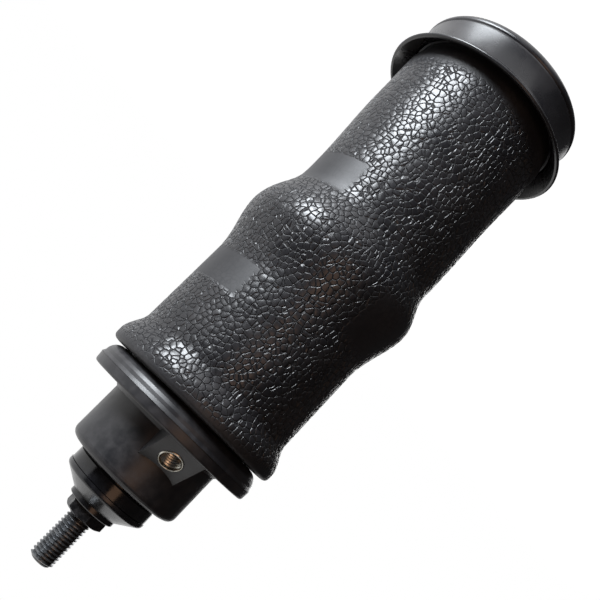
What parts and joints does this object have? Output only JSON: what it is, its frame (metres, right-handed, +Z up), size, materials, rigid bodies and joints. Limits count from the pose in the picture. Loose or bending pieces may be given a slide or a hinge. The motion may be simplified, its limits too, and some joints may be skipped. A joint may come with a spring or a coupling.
{
  "type": "air shock absorber",
  "caption": "Cab air shock absorber: gas damper inside a bulged rubber air sleeve, with a flared end cap, flanged housing, side air port and threaded stud.",
  "frame": {"origin": "centre of the end cap's closed face, at the part's lowest point", "axes": "+Z up the damper's axis from the end cap to the stud, -Y towards the air port, +X to the right when the port faces the viewer"},
  "size_m": [0.1224, 0.1224, 0.3648],
  "materials": {
    "cap_plastic": "satin moulded black",
    "housing_plastic": "satin moulded black, finely mottled",
    "seat_plastic": "plain moulded",
    "sleeve_rubber": "pebble-grained black",
    "mount_rubber": "glossy black",
    "seal_rubber": "plain black",
    "buffer_foam": "plain foam",
    "washer_paint": "glossy black",
    "nut_steel": "satin black",
    "rod_steel": "dark zinc on the stud",
    "tube_steel": "plain drawn",
    "spring_steel": "bright",
    "light_alloy": "turned",
    "yellow_metal": "nickel-bright brass",
    "slide_polymer": "plain"
  },
  "bodies": {
    "lower": {"end_cap": "cap_plastic", "sleeve_seat": "seat_plastic", "lower_crimp_ring": "tube_steel", "seat_o_ring": "seal_rubber", "seat_snap_ring": "spring_steel", "tube_base": "tube_steel", "damper_tube": "tube_steel", "rod_guide": "light_alloy", "guide_bush": "yellow_metal", "guide_o_ring": "seal_rubber", "rod_seal": "seal_rubber", "guide_snap_ring": "spring_steel", "strike_cap": "tube_steel", "rubber_sleeve": "sleeve_rubber"},
    "floating": {"floating_piston": "light_alloy", "floating_seal": "seal_rubber"},
    "upper": {"piston_rod": "rod_steel", "damper_piston": "tube_steel", "piston_band": "slide_polymer", "compression_shims": "spring_steel", "rebound_shims": "spring_steel", "backing_washers": "tube_steel", "piston_nut": "spring_steel", "stop_collar": "tube_steel", "rebound_stop": "seal_rubber", "bump_stop": "buffer_foam", "foot_washer": "tube_steel", "spacer_sleeve": "spring_steel", "rubber_mount": "mount_rubber", "dished_washer": "washer_paint", "flat_washer": "washer_paint", "stud_nut": "nut_steel", "top_housing": "housing_plastic", "sleeve_carrier": "housing_plastic", "carrier_o_ring": "seal_rubber", "upper_crimp_ring": "tube_steel", "port_insert": "yellow_metal"}
  },
  "joints": [
    {"name": "damper_stroke", "type": "slide", "parent": "lower", "child": "upper", "axis": [0, 0, -1], "range_m": [0, 0.065], "stiffness_N_per_m": 600, "springref_m": -0.2, "deforming": ["rubber_sleeve"]},
    {"name": "floating_piston_slide", "type": "slide", "parent": "lower", "child": "floating", "axis": [0, 0, -1], "range_m": [0, 0.01284]}
  ],
  "couplings": [
    {"joint": "floating_piston_slide", "follows": "damper_stroke", "ratio": 0.19753}
  ]
}
